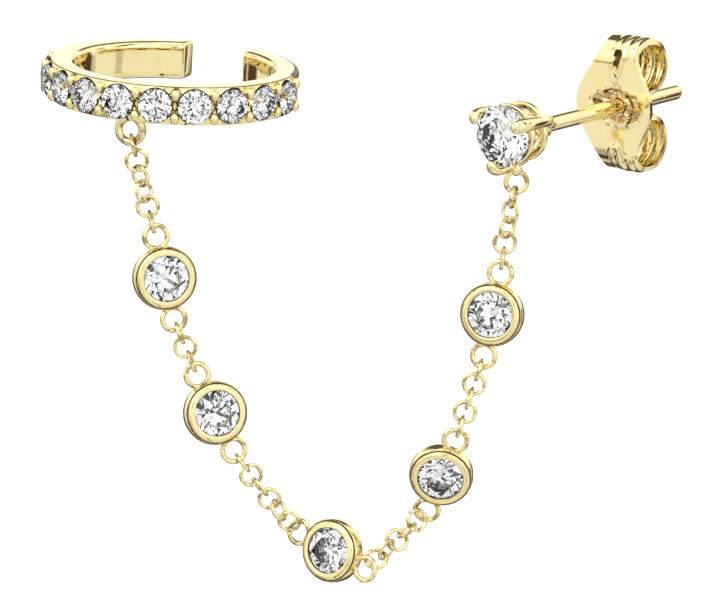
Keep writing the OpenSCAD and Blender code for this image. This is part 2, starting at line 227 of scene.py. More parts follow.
# %% Set out the cloth, the soft boxes and the cards
CLOTH_BELOW, CLOTH_GAIN, FOLD_SHADE = 0.95, 0.35, 0.5
SOFT_BOXES = [
    # strength, degrees to the right of the front, degrees up, full within, gone past
    (1.4, -38, 42, 14, 26), (1.2, 50, 30, 12, 20), (0.8, 0, 85, 8, 20),
]
METAL_CARDS = [
    # strength, degrees to the right of the front, half width, lower end, upper end
    (1.00, 120, 7, -24, 2), (0.95, 180, 34, 24, 66), (1.00, -102, 9, -60, 10),
    (1.00, 14, 3, -70, -25), (1.00, -48, 4, -60, 2), (1.00, 72, 9, 25, 60),
]
STONE_CARDS = [
    (0.5, -80, 3, -60, 60), (0.7, -62, 3, -60, 60), (1.0, -44, 3, -60, 60),
    (1.0, -28, 2, -60, 75), (1.0, -14, 2, -60, 75), (1.0, 17, 2, -60, 75),
    (1.0, 34, 3, -60, 75), (1.0, 52, 3, -60, 60), (1.0, 74, 3, -60, 60),
]

height = tent.node("SeparateXYZ", {}, {0: direction}, output="Z")
folds = tent.fade(tent.speckle(direction, 2.4, 1.5), 0.54, 0.66)
smooth_cloth = any_of(patch(aim(-76, 10), 24, 36), patch(aim(25, -12), 30, 44))
cloth = CLOTH_BELOW + CLOTH_GAIN * tent.fade(height, -0.5, 0.5)
cloth = cloth * (1 - FOLD_SHADE * (1 - smooth_cloth) * folds)
soft_boxes = sum(strength * patch(aim(across, up), full, gone)
                 for strength, across, up, full, gone in SOFT_BOXES)
low_behind = patch(aim(180, -26), 33, 52) * (1 - card(180, 80, 2, 22))
outlines = 0.95 * low_behind * (1 - patch(aim(180, -12), 8, 20))
metal_cards = any_of(patch(aim(0, LOOK_DOWN), 4, 7), outlines, *cards_of(METAL_CARDS))
stone_cards = any_of(patch(aim(0, LOOK_DOWN), 6, 8), *cards_of(STONE_CARDS))
print("cards:", len(METAL_CARDS), "for metal,", len(STONE_CARDS), "for stones")

# %% [markdown]
# A card isn't quite black: it looks warm brown in gold, and a cold blue grey in the
# stones. A ray that has passed through a stone's surface is told apart by how often it
# was transmitted.

# %% Light the tent
CARD_IN_GOLD, CARD_IN_STONE = (0.055, 0.03, 0.012, 1), (0.02, 0.02, 0.035, 1)
DARK_IN_GOLD, DARK_IN_STONE, DIMMER_IN_STONE = 0.97, 0.98, 0.08
BACKDROP = 0.97

light_path = tent.node("LightPath", output="Is Camera Ray")
in_stone = tent.math("GREATER_THAN", light_path.other("Transmission Depth"), 0.5)
dark = any_of(DARK_IN_GOLD * metal_cards * (1 - in_stone), DARK_IN_STONE * stone_cards * in_stone)
bright = (cloth + soft_boxes) * (1 - DIMMER_IN_STONE * in_stone)
bright = tent.node("CombineColor", {}, {0: bright, 1: bright, 2: bright})
card_colour = tent.mix(in_stone, CARD_IN_GOLD, CARD_IN_STONE)
lit = tent.node("Background", {}, {"Color": tent.mix(dark, bright, card_colour)})
plain = tent.node("Background", {}, {"Color": (1, 1, 1, 1), "Strength": BACKDROP})
tent.node("OutputWorld", {}, {0: tent.node("MixShader", {}, {0: light_path, 1: lit, 2: plain})})
print("tent nodes:", len(world.node_tree.nodes))

# %% [markdown]
# ## Floor
# The jewel hangs clear above a wide, pale, matt floor, far enough down for its shadow to
# be faint. Metal and stones don't show the floor, only the tent and each other.

# %% Lay the floor
FLOOR_Z, FLOOR_RADIUS = -0.075, 6


def new_material(name):
    material = bpy.data.materials.new(name)
    return material, Tree(material)


def principled(tree, sockets):
    tree.node("OutputMaterial", {}, {0: tree.node("BsdfPrincipled", {}, sockets)})


floor_paint, paint = new_material("pale_floor")
principled(paint, {
    "Base Color": (0.9, 0.9, 0.9, 1),
    "Roughness": 0.9,
    "Emission Color": (1, 1, 1, 1),
    "Emission Strength": 0.12,
})
shape = bmesh.new()
bmesh.ops.create_circle(shape, cap_ends=True, segments=96, radius=FLOOR_RADIUS)
bmesh.ops.translate(shape, verts=shape.verts, vec=(0, 0, FLOOR_Z))
floor_mesh = bpy.data.meshes.new("floor")
shape.to_mesh(floor_mesh)
shape.free()
floor_mesh.materials.append(floor_paint)
floor = bpy.data.objects.new("floor", floor_mesh)
bpy.context.scene.collection.objects.link(floor)
floor.visible_glossy = floor.visible_transmission = False
floor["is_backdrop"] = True
bpy.context.scene.view_settings.view_transform = "Standard"
print("floor at, mm:", 1000 * FLOOR_Z)

# %% [markdown]
# ## Polished gold
# Pale yellow gold, buffed by hand: almost a mirror, but with a faint orange-peel ripple
# from the buff, hairlines, and a trace of tarnish that warms the colour in patches. A
# picture could be wrapped round each piece, but noise on the piece's own coordinates fits
# any shape without a seam. The ripple is bump, because it is only thousandths of a
# millimetre deep, and hundredths on wire and torn sheet.

# %% Describe the gold
GOLD = (0.89, 0.76, 0.41, 1)
GOLD_WARM = (0.84, 0.66, 0.29, 1)
HOLLOW_BROWN = (0.24, 0.15, 0.05, 1)
TARNISH, HAIRLINE = 0.55, 0.06


def in_mm(tree):
    """The place on a piece, in millimetres."""
    return tree.node("Mapping", {}, {
        "Vector": tree.node("TexCoord", output="Object"), "Scale": (1000, 1000, 1000)})


def gold_material(name, roughness, ripple, waves_per_mm=2.2, colours=(GOLD, GOLD_WARM),
                  hollow_darkening=0.0):
    """Gold of a given gloss, with a ripple of a given depth in millimetres and closeness.

    The last argument sets how far the ripple's hollows turn dark brown, from 0 to 1.
    """
    material, tree = new_material(name)
    place = in_mm(tree)
    waves = tree.speckle(place, waves_per_mm, 2.0)
    stretched = tree.node("Mapping", {}, {
        "Vector": place, "Rotation": (0.3, 0.7, 0.4), "Scale": (3, 30, 30)})
    hairlines = tree.speckle(stretched, 1.0, 4.0)
    warm = TARNISH * tree.fade(tree.speckle(place, 0.7, 3.0), 0.45, 0.75)
    hollows = 1 - tree.fade(waves, 0.38, 0.5)
    principled(tree, {
        "Base Color": tree.mix(hollow_darkening * hollows, tree.mix(warm, *colours), HOLLOW_BROWN),
        "Metallic": 1.0,
        "Roughness": roughness + HAIRLINE * tree.fade(hairlines, 0.5, 0.75),
        "Normal": tree.node("Bump", {}, {
            "Height": waves + HAIRLINE * hairlines, "Distance": ripple * MM, "Strength": 1.0}),
    })
    return material


print("gold, red green blue:", GOLD[:3])

# %% [markdown]
# The jewel has five finishes. Drawn wire turns dark brown in the hollows of its fine ripples, sheet
# that was torn by a punch is rough and warm, with its colour darkened as painted shade, and the bezels'
# seats are plated white, so that no yellow shows through their stones. Seams, cuts and one narrow edge
# get dull dark gold, a painted shade.

# %% Mix the finishes
polished = gold_material("polished_gold", 0.05, 0.004)
drawn = gold_material("drawn_wire_gold", 0.08, 0.02, 3.0, hollow_darkening=0.65)
# Torn sheet: rough, with its colours darkened below the gold's, a painted shade for the hollow collar.
torn_shaded = gold_material("torn_gold_painted_shade", 0.22, 0.04, 5.0,
                     ((0.74, 0.55, 0.28, 1), (0.52, 0.34, 0.13, 1)))
plated = gold_material("plated_seat", 0.25, 0.02, 5.0,
                       ((0.88, 0.88, 0.86, 1), (0.72, 0.72, 0.74, 1)))

# Painted shade: dull dark gold, speckled darker, that stands in for shade in seats, seams, cuts and
# along a narrow edge.
shade_gold, tree = new_material("painted_shade_gold")
shade_speckle = tree.speckle(in_mm(tree), 6.0, 3.0)
principled(tree, {
    "Base Color": tree.mix(tree.fade(shade_speckle, 0.35, 0.65),
                           (0.30, 0.20, 0.08, 1), (0.10, 0.06, 0.02, 1)),
    "Metallic": 1.0,
    "Roughness": 0.3 + 0.2 * shade_speckle,
})
print("gold finishes:", polished.name, drawn.name, torn_shaded.name, plated.name, shade_gold.name)

# %% [markdown]
# ## Cut stone
# A clear stone bends light so strongly that its back facets mirror the tent, broken up
# into light and dark splinters. A glass shader does this by itself on the flat facets of
# the solids. It bends light a little more than a diamond's 2.42, so that less of what is
# behind a stone shows through, and its surface mirrors less, so that the splinters inside
# show. A cold and warm trace in its colour stands for the play of colours.

# %% Polish the stones
STONE_INDEX = 2.6
SURFACE_MIRROR = (0.3, 0.3, 0.3, 1)

stone_material, stone = new_material("cut_stone")
tint = stone.speckle(in_mm(stone), 1.6, 1.0)
principled(stone, {
    "Base Color": stone.mix(stone.fade(tint, 0.4, 0.6),
                            (0.93, 0.96, 1.0, 1), (1.0, 0.99, 0.97, 1)),
    "Roughness": 0.0,
    "IOR": STONE_INDEX,
    "Transmission Weight": 1.0,
    "Specular Tint": SURFACE_MIRROR,
})
stone_nodes = [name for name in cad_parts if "stone" in name]
for name in stone_nodes:
    node_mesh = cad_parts[name].data
    node_mesh.materials.clear()
    node_mesh.materials.append(stone_material)
print("stones:", len(stone_nodes), "nodes")

# %% [markdown]
# ## From a bmesh to a piece
# Each piece is drawn in millimetres where that is easiest, often flat at the origin, and
# then moved to its place in the mesh itself. A piece is finished by merging doubles,
# turning the faces outwards and smoothing all but the sharp edges.

# %% Finish a piece
SHARP = math.radians(40)
WELD = 0.0004


def finish_piece(bm, name, body, stands_for, materials):
    """Scales a bmesh from millimetres, and makes it a smooth piece that rides on a body."""
    bmesh.ops.remove_doubles(bm, verts=bm.verts, dist=WELD)
    bmesh.ops.recalc_face_normals(bm, faces=bm.faces)
    bmesh.ops.scale(bm, vec=(MM, MM, MM), verts=bm.verts)
    for face in bm.faces:
        face.smooth = True
    for edge in bm.edges:
        edge.smooth = len(edge.link_faces) != 2 or edge.calc_face_angle() < SHARP
    mesh = bpy.data.meshes.new(name)
    bm.to_mesh(mesh)
    bm.free()
    for material in materials:
        mesh.materials.append(material)
    piece = bpy.data.objects.new(name, mesh)
    bpy.context.scene.collection.objects.link(piece)
    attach(piece, body)
    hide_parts(*stands_for)
    mesh.calc_loop_triangles()
    print(name, len(mesh.loop_triangles), "triangles")


print("edges are sharp past", round(math.degrees(SHARP)), "degrees")

# %% [markdown]
# Most of the jewel is something spun: a section round an axis, or a wire's circle round a
# ring. A section starts as a face with square corners, each of them is bevelled to its
# own rounding, and then only the outline is kept.

# %% Round a section and bend a ring
def turn(degrees, axis):
    return Matrix.Rotation(math.radians(degrees), 4, axis)


def rounded_outline(bm, corners, segments=5):
    """A flat face in the XZ plane from corners (x, z, radius), rounded, as a loop of edges."""
    before = set(bm.faces)
    points = [bm.verts.new((x, 0, z)) for x, z, _ in corners]
    bm.faces.new(points)
    for point, (_, _, radius) in zip(points, corners):
        if radius:
            bmesh.ops.bevel(bm, geom=[point], offset=radius, offset_type="OFFSET",
                            segments=segments, profile=0.5, affect="VERTICES", material=-1)
    face = next(f for f in bm.faces if f not in before)
    edges = list(face.edges)
    bmesh.ops.delete(bm, geom=[face], context="FACES_ONLY")
    return edges


def add_ring(bm, diameter, wire, place, around=40, across=14, finish=0):
    """A wire ring in its own XY plane, put where the matrix says."""
    before, faces_before = set(bm.verts), set(bm.faces)
    out = Matrix.Translation(((diameter - wire) / 2, 0, 0))
    made = bmesh.ops.create_circle(bm, segments=across, radius=wire / 2, matrix=out @ turn(90, "X"))
    edges = list({e for v in made["verts"] for e in v.link_edges})
    bmesh.ops.spin(bm, geom=made["verts"] + edges, cent=(0, 0, 0), axis=(0, 0, 1),
                   angle=2 * math.pi, steps=around, use_merge=True)
    bmesh.ops.transform(bm, matrix=place, verts=[v for v in bm.verts if v not in before])
    for face in set(bm.faces) - faces_before:
        face.material_index = finish


trial = bmesh.new()
add_ring(trial, 1, 0.2, Matrix())
print("a wire ring has", len(trial.faces), "faces")
trial.free()

# %% [markdown]
# ## Ear cuff
# The cuff is a bar bent to an open ring. Its front carries eleven drilled seats, and
# its back is plain with soft edges. A section of the bar is spun round the ring's axis.
# The drilled stretch is built from eleven equal cells: each is a patch of the outside
# with a round hole, the seat, and a patch of the inside with the small hole behind the
# stone. Cells and bar share the places of their edges, so that they can be welded.

# %% Sizes of the cuff
CUFF_PLACE = Matrix.Translation((-19.5, 1.15, 1.5)) @ turn(3, "Y") @ turn(0.7, "X")
CUFF_OUT, CUFF_IN, CUFF_HALF = 6.03, 4.83, 0.92  # the bar's two radii and half its height
FRONT_EDGE, BACK_EDGE, INNER_EDGE = 0.04, 0.26, 0.28  # roundings of the bar's edges
CROWN_FROM, CROWN_BEND = 0.62, 1.3
ROW_MIDDLE, STONE_STEP, STONE_COUNT = -24.5, 17.8, 11  # the row's middle and step in degrees
GAP_FROM, GAP_TO = 138.5, 173.5  # degrees from the front to the right
CELL_SIDE = 8  # faces along a cell's side
FINISHES = (polished, shade_gold, drawn, plated)
DARK_SHADE, WIRE, SEAT = 1, 2, 3  # their places in FINISHES


def on_ring(angle):
    """Turn that brings a shape on +X to a direction in degrees from the front to the right."""
    return turn(angle - 90, "Z")


def crown(z):
    """How much the outside of the set stretch falls back towards its upper and lower edge."""
    return CROWN_BEND * max(abs(z) - CROWN_FROM, 0) ** 2


def bar_section(bm, outer, outer_radius):
    """The bar's rounded section at +X, with its upright sides cut like a cell's."""
    edges = rounded_outline(bm, [
        (outer, CUFF_HALF, outer_radius), (outer, -CUFF_HALF, outer_radius),
        (CUFF_IN, -CUFF_HALF, INNER_EDGE), (CUFF_IN, CUFF_HALF, INNER_EDGE)], segments=4)
    upright = [e for e in edges
               if abs(e.verts[0].co.x - e.verts[1].co.x) < 1e-6 and e.calc_length() > 1]
    cut = bmesh.ops.subdivide_edges(bm, edges=upright, cuts=CELL_SIDE - 1)
    verts = {v for e in edges if e.is_valid for v in e.verts}
    verts |= {v for v in cut["geom_inner"] if isinstance(v, bmesh.types.BMVert)}
    return list({e for v in verts for e in v.link_edges})


SET_OUT = CUFF_OUT - crown(CUFF_HALF - FRONT_EDGE)


def verts_of(edges):
    return list({v for e in edges for v in e.verts})


def is_upright(edge):
    """An edge on the bar's flat outside or inside."""
    a, b = (v.co.x for v in edge.verts)
    return abs(a - b) < 1e-6 and (abs(a - SET_OUT) < 1e-4 or abs(a - CUFF_IN) < 1e-4)


print("row of stones covers", round(STONE_STEP * STONE_COUNT, 1), "degrees")

# %% [markdown]
# A cell starts as circles of equal count, one for each step of the seat. The first and
# last are pulled out to a curved rectangle, for which each point of the circle gets its
# place on a square. Between two stones the metal is cut lower, which leaves room for the
# beads to be raised.

# %% Draw the rims of a cell
def ring_of_verts(bm, radius, x):
    """A circle round the X axis."""
    place = Matrix.Translation((x, 0, 0)) @ turn(90, "Z") @ turn(90, "X")
    return bmesh.ops.create_circle(bm, segments=4 * CELL_SIDE, radius=radius, matrix=place)["verts"]


def square_place(y, z):
    """The point of a circle's direction on a square's outline, evenly spaced, each from -1 to 1."""
    degrees = math.degrees(math.atan2(z, y)) + 45
    side, along = int(degrees // 90) % 4, (degrees % 90) / 45 - 1
    return [(1, along), (-along, 1), (-1, -along), (along, -1)][side]


def patch_rim(bm, radius, half_height, saddle, crowned):
    """A ring that is pulled to the curved rectangle of one cell, with crowned 1 or 0."""
    half_angle = math.radians(STONE_STEP / 2)
    made = ring_of_verts(bm, 1, 0)
    for v in made:
        p, q = square_place(v.co.y, v.co.z)
        r = radius - saddle * abs(p) ** 4 * math.exp(-(q / 0.45) ** 2) - crowned * crown(q * half_height)
        v.co = (r * math.cos(p * half_angle), r * math.sin(p * half_angle), q * half_height)
    return made


def hole_rim(bm, radius, ring_radius, crowned):
    """The rim of a round hole in the curved outside or inside, with crowned 1 or 0."""
    made = ring_of_verts(bm, radius, 0)
    for v in made:
        v.co.x = math.sqrt(ring_radius ** 2 - v.co.y ** 2) - crowned * crown(v.co.z)
    return made


print("a cell is", round(math.radians(STONE_STEP) * CUFF_OUT, 2), "mm wide outside")

# %% [markdown]
# Neighbouring rims are bridged, and the finished cell is copied along the row by a spin
# that duplicates it. The seat's wall and floor get the dull dark gold of painted shade.

# %% Drill one cell and repeat it
SEAT_MOUTH, SEAT_WALL, SEAT_HOLE = 0.86, 0.84, 0.36  # radii
SEAT_LEDGE, SEAT_FLOOR = 5.86, 5.45  # from the cuff's axis
SADDLE = 0.1


def edges_between(verts):
    chosen = set(verts)
    return list({e for v in verts for e in v.link_edges if chosen.issuperset(e.verts)})


def drilled_cell(bm):
    rims = [
        patch_rim(bm, CUFF_OUT, CUFF_HALF - FRONT_EDGE, SADDLE, 1),
        hole_rim(bm, SEAT_MOUTH, CUFF_OUT, 1),
        ring_of_verts(bm, SEAT_WALL, SEAT_LEDGE),
        ring_of_verts(bm, SEAT_HOLE, SEAT_FLOOR),
        hole_rim(bm, SEAT_HOLE, CUFF_IN, 0),
        patch_rim(bm, CUFF_IN, CUFF_HALF - INNER_EDGE, 0, 0),
    ]
    loops = [edges_between(rim) for rim in rims]
    for step in range(len(loops) - 1):
        made = bmesh.ops.bridge_loops(bm, edges=loops[step] + loops[step + 1])
        for face in made["faces"]:
            # the seat's wall and floor: painted shade
            face.material_index = DARK_SHADE if step in (1, 2) else 0


cuff = bmesh.new()
drilled_cell(cuff)
row_angle = STONE_STEP * (STONE_COUNT - 1)
bmesh.ops.transform(cuff, matrix=on_ring(ROW_MIDDLE - row_angle / 2), verts=cuff.verts)
bmesh.ops.spin(cuff, geom=cuff.verts[:] + cuff.edges[:] + cuff.faces[:], cent=(0, 0, 0),
               axis=(0, 0, 1), angle=math.radians(row_angle), steps=STONE_COUNT - 1,
               use_duplicate=True)
print("drilled cells:", len(cuff.faces), "faces")

# %% [markdown]
# The upper and lower sides of the bar are spun along the whole row. Then a plain section
# is set up past each end, bridged to the row and spun on to the gap, where the bar's end
# is closed and its edge rounded. The narrow rounding of the row's upper edge is painted dark, a painted
# shade line.

# %% Spin the bar and close its ends
BLEND, END_STEP, END_EDGE = 2.5, 5, 0.2  # degrees, degrees, rounding

row_from = ROW_MIDDLE - STONE_STEP * STONE_COUNT / 2
row_to = ROW_MIDDLE + STONE_STEP * STONE_COUNT / 2
sides = bar_section(cuff, SET_OUT, FRONT_EDGE)
bmesh.ops.delete(cuff, geom=[e for e in sides if is_upright(e)], context="EDGES")
sides = [e for e in sides if e.is_valid]
bmesh.ops.delete(cuff, geom=[v for v in cuff.verts if not v.link_edges], context="VERTS")
bmesh.ops.transform(cuff, matrix=on_ring(row_from), verts=verts_of(sides))
bmesh.ops.spin(cuff, geom=verts_of(sides) + sides, cent=(0, 0, 0), axis=(0, 0, 1),
               angle=math.radians(row_to - row_from), steps=CELL_SIDE * STONE_COUNT)
bmesh.ops.remove_doubles(cuff, verts=cuff.verts, dist=0.002)
# the row's narrow upper rounding: a painted dark shade line
for face in cuff.faces:
    middle = face.calc_center_median()
    if middle.z > CUFF_HALF - FRONT_EDGE and middle.xy.length > SET_OUT - FRONT_EDGE:
        face.material_index = DARK_SHADE


def direction_of(edge):
    middle = (edge.verts[0].co + edge.verts[1].co) / 2
    return math.degrees(math.atan2(middle.x, -middle.y))


def plain_arm(bm, row_end, tip, steps, slant):
    """The plain bar from one end of the row to the gap, with its end cut at a slant."""
    def at_row_end(edge):
        return abs(math.sin(math.radians(direction_of(edge) - row_end) / 2)) < 0.01

    open_end = [e for e in bm.edges if e.is_boundary and at_row_end(e)]
    blend = math.copysign(BLEND, tip - row_end)
    section = bar_section(bm, CUFF_OUT, BACK_EDGE)
    bmesh.ops.transform(bm, matrix=on_ring(row_end + blend), verts=verts_of(section))
    bmesh.ops.bridge_loops(bm, edges=open_end + section)
    last = math.copysign(END_STEP, tip - row_end)
    rim = verts_of(section) + section
    for angle, count in ((tip - row_end - blend - last, steps), (last, 1)):
        rim = bmesh.ops.spin(bm, geom=rim, cent=(0, 0, 0), axis=(0, 0, 1),
                             angle=math.radians(angle), steps=count)["geom_last"]
    verts = [g for g in rim if isinstance(g, bmesh.types.BMVert)]
    edges = [g for g in rim if isinstance(g, bmesh.types.BMEdge)]
    middle = Matrix.Translation(sum((v.co for v in verts), Vector()) / len(verts))
    bmesh.ops.transform(bm, matrix=middle @ turn(slant, "Z") @ middle.inverted(), verts=verts)
    bmesh.ops.contextual_create(bm, geom=edges)
    bmesh.ops.bevel(bm, geom=edges, offset=END_EDGE, offset_type="OFFSET", segments=4,
                    profile=0.5, affect="EDGES", material=-1)


plain_arm(cuff, row_to, GAP_FROM, 24, 0)
plain_arm(cuff, row_from, GAP_TO - 360, 26, -17)
print("cuff bar:", len(cuff.faces), "faces,", sum(e.is_boundary for e in cuff.edges), "open edges")

# %% [markdown]
# Beads are the small balls that a setter raises from the metal and burnishes over the
# stones' edges: an upper and a lower one between each pair, and at both ends. They are a
# little taller than wide. The wire loop below the front carries the chain.

# %% Raise the beads and solder the loop
BEAD_D, BEAD_RING, BEAD_UP = 0.46, 6.14, 0.55  # size, from the axis, above the middle
BEAD_FORM = Matrix.Diagonal((0.95, 0.98, 1.2, 1))
LOOP_DIR, LOOP_D, LOOP_WIRE = -19.2, 1.6, 0.4

for gap in range(STONE_COUNT + 1):
    for side in (-1, 1):
        angle = ROW_MIDDLE + (gap - STONE_COUNT / 2) * STONE_STEP
        place = on_ring(angle) @ Matrix.Translation((BEAD_RING, 0, side * BEAD_UP)) @ BEAD_FORM
        bmesh.ops.create_uvsphere(cuff, u_segments=16, v_segments=10, radius=BEAD_D / 2,
                                  matrix=place)

loop_place = turn(LOOP_DIR, "Z") @ Matrix.Translation((0, -5.56, -1.38)) @ turn(90, "X")
add_ring(cuff, LOOP_D, LOOP_WIRE, loop_place, around=48, across=18, finish=WIRE)
bmesh.ops.transform(cuff, matrix=CUFF_PLACE, verts=cuff.verts)
finish_piece(cuff, "gold_cuff", "earring", ["ear_cuff"], FINISHES)

# %% [markdown]
# ## Bezels
# Each bezel is a low cup with a full round rim that is pushed over the stone's edge, and
# open at the back to let light in. Where the rim folds over, and at its lip by the stone, the
# gold is painted dark, a painted shade line. A section, rounded at its corners, is spun once round. Two
# wire rings are soldered to it, in line with the chain.

# %% Spin the five bezels
BEZELS = [
    # x, y, z, then lean, tip and swing in degrees
    (-19.82, -4.1, -7.03, -11, -5, 14),
    (-17.44, -4.1, -13.62, -24, -8, 15),
    (-11.87, -4.3, -20.35, -72, -10, -32),
    (-6.65, -3.55, -16.82, 21, 14, -6),
    (-4.25, -4.1, -8.81, 10, -6, -15),
]
RIM = [
    # from the axis, height, rounding
    (0.90, -0.46, 0.04), (1.55, -0.46, 0.27), (1.55, 0.12, 0.12),
    (1.485, 0.33, 0.04), (1.43, 0.31, 0), (1.40, 0.46, 0.15), (1.08, 0.46, 0.08),
    (1.08, 0.335, 0), (1.24, 0.215, 0), (1.24, 0.12, 0), (0.90, -0.13, 0.03),
]
EAR_D, EAR_WIRE, EAR_REACH = 1.36, 0.25, 2.03  # a soldered ring, and how far out it sits


def spin_full(bm, edges, steps, axis=(0, 0, 1)):
    bmesh.ops.spin(bm, geom=verts_of(edges) + edges, cent=(0, 0, 0), axis=axis,
                   angle=2 * math.pi, steps=steps, use_merge=True)


def rim_finish(middle):
    """Which finish a face of the rim gets, from its middle: the plated seat, or painted shade at the lip
    and the fold.
    """
    from_axis, high = middle.xy.length, middle.z
    if from_axis < 1.25 and -0.1 < high < 0.32:
        return SEAT
    # lip and fold: painted shade lines
    at_lip = from_axis < 1.125 and 0.32 < high < 0.45
    at_fold = abs(from_axis - 1.45) < 0.035 and 0.28 < high < 0.36
    return DARK_SHADE if at_lip or at_fold else 0


for number, (x, y, z, lean, tip, swing) in enumerate(BEZELS, 1):
    bezel = bmesh.new()
    spin_full(bezel, rounded_outline(bezel, RIM), 72)
    for face in bezel.faces:
        face.material_index = rim_finish(face.calc_center_median())
    for side in (-1, 1):
        add_ring(bezel, EAR_D, EAR_WIRE, Matrix.Translation((0, side * EAR_REACH, 0)), finish=WIRE)
    facing = turn(swing, "Z") @ turn(tip, "X") @ turn(lean, "Y") @ turn(90, "X")
    bmesh.ops.transform(bezel, matrix=Matrix.Translation((x, y, z)) @ facing, verts=bezel.verts)
    finish_piece(bezel, f"gold_bezel_{number}", "earring", [f"bezel_{number}"], FINISHES)

# %% [markdown]
# ## Chain
# Thirty round links of fine wire. A link's place can be read from its solid: the middle
# of the points is its centre, and the direction in which they spread least is its axis.
# Real links are closed with a speck of solder, so each gets a slight thickening, in
# another place on each.

# %% Lay the links
LINK_D, LINK_WIRE = 1.18, 0.19
SOLDER_SHARE, SOLDER_TURN = 0.14, 97


def ring_frame(name):
    """Place of a ring-shaped solid, in millimetres: its middle, with its axis as Z."""
    points = np.array([v.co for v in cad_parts[name].data.vertices]) * 1000
    middle = (points.min(0) + points.max(0)) / 2
    _, directions = np.linalg.eigh(np.cov((points - middle).T))
    facing = Vector(directions[:, 0]).to_track_quat("Z", "Y").to_matrix().to_4x4()
    return Matrix.Translation(middle) @ facing


def thicken_at(bm, towards, share):
    """Thickens a ring's wire by that share where it lies towards a direction."""
    for v in bm.verts:
        outward = Vector((v.co.x, v.co.y, 0)).normalized()
        core = outward * (LINK_D - LINK_WIRE) / 2
        v.co = core + (v.co - core) * (1 + share * math.exp((outward.dot(towards) - 1) / 0.04))


link_names = sorted(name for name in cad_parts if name.startswith("link"))
for number, name in enumerate(link_names):
    link = bmesh.new()
    add_ring(link, LINK_D, LINK_WIRE, Matrix(), around=36, across=12)
    thicken_at(link, turn(SOLDER_TURN * number, "Z") @ Vector((1, 0, 0)), SOLDER_SHARE)
    bmesh.ops.transform(link, matrix=ring_frame(name), verts=link.verts)
    finish_piece(link, "gold_" + name, "earring", [name], (drawn,))

# %% [markdown]
# ## Stud
# Three claws of round wire rise from a hub behind the stone, are tied by two rings and
# bend over the stone's edge. A claw is swept: a small circle is pushed on along its
# path, row by row, and turned and sized to each row. The stud is drawn with its post
# along +Y and its stone towards -Y, and then turned 38 degrees with everything on it.

# %% Sweep the claws
STUD_TURN = -38
STUD_PLACE = turn(STUD_TURN, "Z")
GIRDLE_Y = -6.2
CLAWS = [26, 146, 264]  # degrees round the stone
CLAW_PATH = [
    # from the stone's axis, behind its girdle, half thickness, half width
    (0.32, 3.62, 0.25, 0.28),
    (0.36, 3.20, 0.26, 0.29),
    (0.66, 2.80, 0.27, 0.30),
    (1.06, 2.38, 0.28, 0.30),
    (1.36, 1.85, 0.28, 0.31),
    (1.53, 1.10, 0.28, 0.32),
    (1.62, 0.40, 0.28, 0.33),
    (1.65, -0.10, 0.27, 0.34),
    (1.58, -0.44, 0.25, 0.33),
    (1.42, -0.62, 0.21, 0.30),
    (1.27, -0.66, 0.15, 0.24),
    (1.17, -0.65, 0.07, 0.13),
]


def sweep_bar(bm, rows, segments=14):
    """A round bar along rows of (place, direction, half thickness, half width)."""
    frames = []
    for place, along, thick, wide in rows:
        across = Vector((0, 0, 1))
        out = along.cross(across).normalized()
        turned = Matrix((out, across, along)).transposed().to_4x4()
        frames.append(Matrix.Translation(place) @ turned @ Matrix.Diagonal((thick, wide, 1, 1)))
    start = bmesh.ops.create_circle(bm, cap_ends=True, segments=segments, radius=1,
                                    matrix=frames[0])
    edges = edges_between(start["verts"])
    for last, here in zip(frames, frames[1:]):
        grown = bmesh.ops.extrude_edge_only(bm, edges=edges)["geom"]
        edges = [g for g in grown if isinstance(g, bmesh.types.BMEdge) and g.is_boundary]
        bmesh.ops.transform(bm, matrix=here @ last.inverted(), verts=verts_of(edges))
    bmesh.ops.contextual_create(bm, geom=edges)


def curve_rows(table, between=3):
    """Points on a smooth curve through the table's rows, with the rows' own sizes blended."""
    rows = [Vector(row) for row in table]
    ends = [rows[0] * 2 - rows[1], *rows, rows[-1] * 2 - rows[-2]]
    made = []
    for i in range(1, len(ends) - 2):
        for k in range(between):
            t = k / between
            a, b, c, d = ends[i - 1:i + 3]
            made.append(0.5 * (2 * b + (c - a) * t + (2 * a - 5 * b + 4 * c - d) * t ** 2
                               + (3 * b - a - 3 * c + d) * t ** 3))
    return made + [rows[-1]]


def claw_rows():
    fine = curve_rows(CLAW_PATH)
    places = [Vector((row[0], row[1] + GIRDLE_Y, 0)) for row in fine]
    for i, row in enumerate(fine):
        along = (places[min(i + 1, len(places) - 1)] - places[max(i - 1, 0)]).normalized()
        yield places[i], along, row[2], row[3]


stud = bmesh.new()
for angle in CLAWS:
    before = set(stud.verts)
    sweep_bar(stud, list(claw_rows()))
    bmesh.ops.transform(stud, matrix=turn(-angle, "Y"),
                        verts=[v for v in stud.verts if v not in before])
print("claws:", len(stud.faces), "faces")

# %% [markdown]
# The rings, the hub and the post are all round about the post's axis, so each is a
# rounded outline that is spun once round Y. The post ends in a soft round tip, and a
# wire ring hangs from a dab of solder under the head.

# %% Spin the rings, hub and post
POST_R, POST_TIP, HUB_R, HUB_FROM, HUB_TO = 0.39, 8.1, 0.5, -3.5, -2.8
NEAR_AXIS = 0.001
HANG_D, HANG_WIRE = 1.25, 0.24


def spin_on_axis(bm, corners, steps=56):
    """Spins an outline of (from the axis, along the post, rounding) round the post's axis."""
    edges = rounded_outline(bm, corners)
    swap_y_and_z = Matrix(((1, 0, 0, 0), (0, 0, 1, 0), (0, 1, 0, 0), (0, 0, 0, 1)))
    bmesh.ops.transform(bm, matrix=swap_y_and_z, verts=verts_of(edges))
    spin_full(bm, edges, steps, axis=(0, 1, 0))


def ring_corners(outer, wall, behind, height):
    near, far = GIRDLE_Y + behind, GIRDLE_Y + behind + height
    return [(outer, near, 0.1), (outer, far, 0.12), (outer - wall, far, 0.1),
            (outer - wall, near, 0.1)]


def rod_corners(radius, start, end, start_edge, end_edge):
    return [(NEAR_AXIS, start, 0), (radius, start, start_edge), (radius, end, end_edge),
            (NEAR_AXIS, end, 0)]


